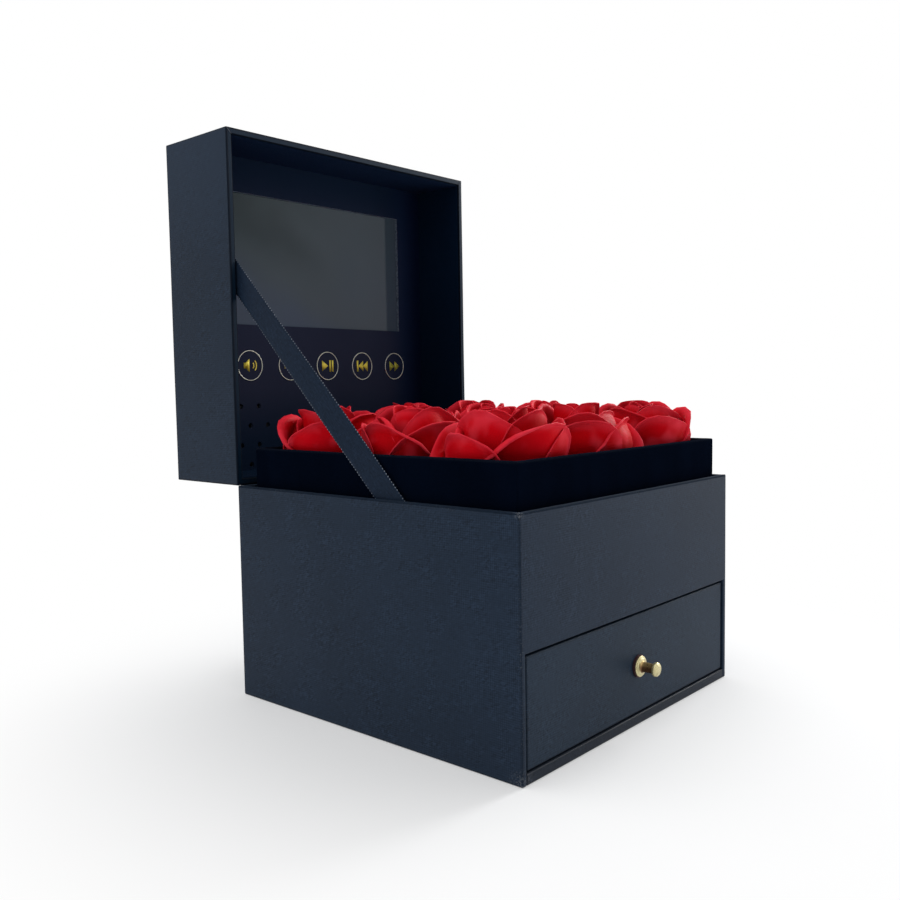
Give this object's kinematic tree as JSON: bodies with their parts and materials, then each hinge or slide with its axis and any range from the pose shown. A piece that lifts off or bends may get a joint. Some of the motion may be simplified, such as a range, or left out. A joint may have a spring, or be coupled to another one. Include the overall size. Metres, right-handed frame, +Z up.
{
  "type": "lcd video gift box",
  "caption": "Square keepsake box with a hinged lid that holds a video screen, round buttons and a speaker, over a raised tray of red roses and a drawer with a brass knob.",
  "frame": {"origin": "middle of the base's underside", "axes": "+X right, -Y front with the drawer, +Z up; the lid stands open at a right angle behind the base"},
  "size_m": [0.214, 0.291, 0.343],
  "materials": {
    "wrap_paper": "satin",
    "hinge_cloth": "matte",
    "inner_board": "matte",
    "liner_paper": "matte",
    "panel_card": "satin",
    "tray_velvet": "matte",
    "foam": "matte",
    "rose_petal": "matte",
    "stem_plastic": "matte",
    "ribbon_satin": "satin",
    "screen_glass": "polished",
    "backlight_plastic": "satin",
    "frame_steel": "satin",
    "flex_amber": "satin",
    "circuit_board": "satin",
    "switch_plastic": "matte",
    "screw_steel": "satin",
    "chip_black": "matte",
    "cone_paper": "matte",
    "lead_red": "satin",
    "battery_wrap": "satin",
    "button_black": "satin",
    "knob_brass": "polished",
    "rosette_bronze": "satin"
  },
  "bodies": {
    "base": {"base_shell": "wrap_paper", "bottom_board": "wrap_paper", "shelf_board": "inner_board", "flower_tray": "tray_velvet", "neck_spacers": "inner_board", "foam_block": "foam", "rose_stems": "stem_plastic", "hinge_cloth_base": "hinge_cloth", "ribbon_stay": "ribbon_satin", "rose_front_left": "rose_petal", "rose_front_centre": "rose_petal", "rose_front_right": "rose_petal", "rose_middle_left": "rose_petal", "rose_middle_centre": "rose_petal", "rose_middle_right": "rose_petal", "rose_back_left": "rose_petal", "rose_back_centre": "rose_petal", "rose_back_right": "rose_petal"},
    "lid": {"lid_shell": "wrap_paper", "hinge_cloth_lid": "hinge_cloth", "lid_liner": "liner_paper", "control_panel": "panel_card", "panel_support_frame": "inner_board", "lcd_glass": "screen_glass", "lcd_backlight": "backlight_plastic", "lcd_frame": "frame_steel", "lcd_flex_cable": "flex_amber", "key_board": "circuit_board", "key_switches": "switch_plastic", "key_board_posts": "switch_plastic", "key_board_screws": "screw_steel", "key_flex_cable": "flex_amber", "speaker_basket": "chip_black", "speaker_cone": "cone_paper", "speaker_magnet": "frame_steel", "speaker_leads": "lead_red", "main_board": "circuit_board", "board_standoffs": "switch_plastic", "board_screws": "screw_steel", "board_chips": "chip_black", "board_connectors": "switch_plastic", "usb_socket": "frame_steel", "battery": "battery_wrap", "battery_leads": "lead_red"},
    "drawer": {"drawer_front": "wrap_paper", "drawer_tray": "inner_board", "drawer_liner": "tray_velvet", "knob_rosette": "rosette_bronze", "knob": "knob_brass", "knob_washer": "screw_steel", "knob_screw": "screw_steel"},
    "button_volume_up": {"button_volume_up": "button_black"},
    "button_volume_down": {"button_volume_down": "button_black"},
    "button_play_pause": {"button_play_pause": "button_black"},
    "button_previous": {"button_previous": "button_black"},
    "button_next": {"button_next": "button_black"}
  },
  "joints": [
    {"name": "lid_hinge", "type": "hinge", "parent": "base", "child": "lid", "pos_m": [0, 0.107, 0.129], "axis": [1, 0, 0], "range_deg": [0, 90], "deforming": ["ribbon_stay"]},
    {"name": "drawer_slide", "type": "slide", "parent": "base", "child": "drawer", "axis": [0, -1, 0], "range_m": [0, 0.15]},
    {"name": "button_volume_up_press", "type": "slide", "parent": "lid", "child": "button_volume_up", "axis": [0, 1, 0], "range_m": [0, 0.0005], "stiffness_N_per_m": 300, "springref_m": -0.001},
    {"name": "button_volume_down_press", "type": "slide", "parent": "lid", "child": "button_volume_down", "axis": [0, 1, 0], "range_m": [0, 0.0005], "stiffness_N_per_m": 300, "springref_m": -0.001},
    {"name": "button_play_pause_press", "type": "slide", "parent": "lid", "child": "button_play_pause", "axis": [0, 1, 0], "range_m": [0, 0.0005], "stiffness_N_per_m": 300, "springref_m": -0.001},
    {"name": "button_previous_press", "type": "slide", "parent": "lid", "child": "button_previous", "axis": [0, 1, 0], "range_m": [0, 0.0005], "stiffness_N_per_m": 300, "springref_m": -0.001},
    {"name": "button_next_press", "type": "slide", "parent": "lid", "child": "button_next", "axis": [0, 1, 0], "range_m": [0, 0.0005], "stiffness_N_per_m": 300, "springref_m": -0.001}
  ]
}
